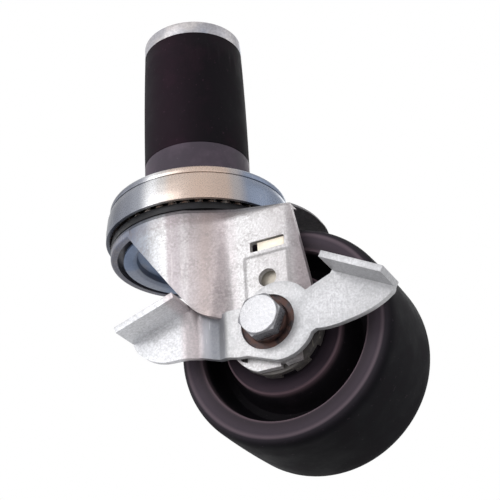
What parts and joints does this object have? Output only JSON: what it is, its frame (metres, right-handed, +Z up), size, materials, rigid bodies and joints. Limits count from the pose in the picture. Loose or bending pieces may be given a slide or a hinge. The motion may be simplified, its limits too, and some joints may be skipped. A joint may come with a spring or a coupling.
{
  "type": "castor",
  "caption": "Swivel castor with a rubber expanding stem for a round tube, a stamped steel fork, a black moulded wheel and a two-pedal foot brake.",
  "frame": {"origin": "on the swivel axis, at the flat top face of the head where the tube's end rests", "axes": "+Z up the swivel axis and along the stem, +X to the trailing side where the wheel hangs, -Y to the brake side"},
  "size_m": [0.1532, 0.1044, 0.2375],
  "materials": {
    "stem_collar": "dark grey, satin",
    "rubber": "smooth moulded rubber",
    "zinc_cap": "zinc plated",
    "fastener_zinc": "bright zinc plated",
    "zinc_head": "zinc plated, turned",
    "race_steel": "oiled steel",
    "ball_steel": "polished",
    "zinc_dark": "zinc plated, bluish",
    "zinc_fork": "spangled zinc plate",
    "bronze": "oiled bronze",
    "black_plastic": "moulded",
    "wheel_rubber": "moulded, slightly worn",
    "zinc_lever": "spangled zinc plate",
    "zinc_cream": "zinc plated, worn"
  },
  "bodies": {
    "head": {"stem_collar": "stem_collar", "rubber_sleeve": "rubber", "end_cap": "zinc_cap", "stem_washer": "fastener_zinc", "stem_bolt": "fastener_zinc", "top_plate": "zinc_head", "shell": "zinc_head", "upper_race": "race_steel", "head_balls": "ball_steel", "kingpin": "zinc_dark", "retainer": "zinc_dark", "crown_balls": "ball_steel"},
    "fork_body": {"fork": "zinc_fork", "lower_race": "race_steel", "axle_sleeve": "race_steel", "lever_bush": "bronze", "head_washer": "bronze", "nut_washer": "fastener_zinc", "axle_bolt": "fastener_zinc", "axle_nut": "fastener_zinc", "hub_spacer": "black_plastic", "thread_guard": "zinc_dark"},
    "wheel_body": {"wheel": "wheel_rubber", "hub_bush": "black_plastic"},
    "lever_body": {"brake_lever": "zinc_lever"},
    "brake_body": {"brake_plate": "zinc_cream"}
  },
  "joints": [
    {"name": "swivel", "type": "hinge", "parent": "head", "child": "fork_body", "pos_m": [0, 0, 0], "axis": [0, 0, 1], "continuous": true},
    {"name": "wheel_spin", "type": "hinge", "parent": "fork_body", "child": "wheel_body", "pos_m": [0.0505, 0, -0.0875], "axis": [0, 1, 0], "continuous": true},
    {"name": "lever_press", "type": "hinge", "parent": "fork_body", "child": "lever_body", "pos_m": [0.0505, -0.0389, -0.0875], "axis": [0, -1, 0], "range_deg": [0, 18]},
    {"name": "plate_slide", "type": "slide", "parent": "fork_body", "child": "brake_body", "axis": [0, 1, 0], "range_m": [0, 0.001]}
  ],
  "couplings": [
    {"joint": "plate_slide", "follows": "lever_press", "m_per_rad": 0.0031831}
  ]
}
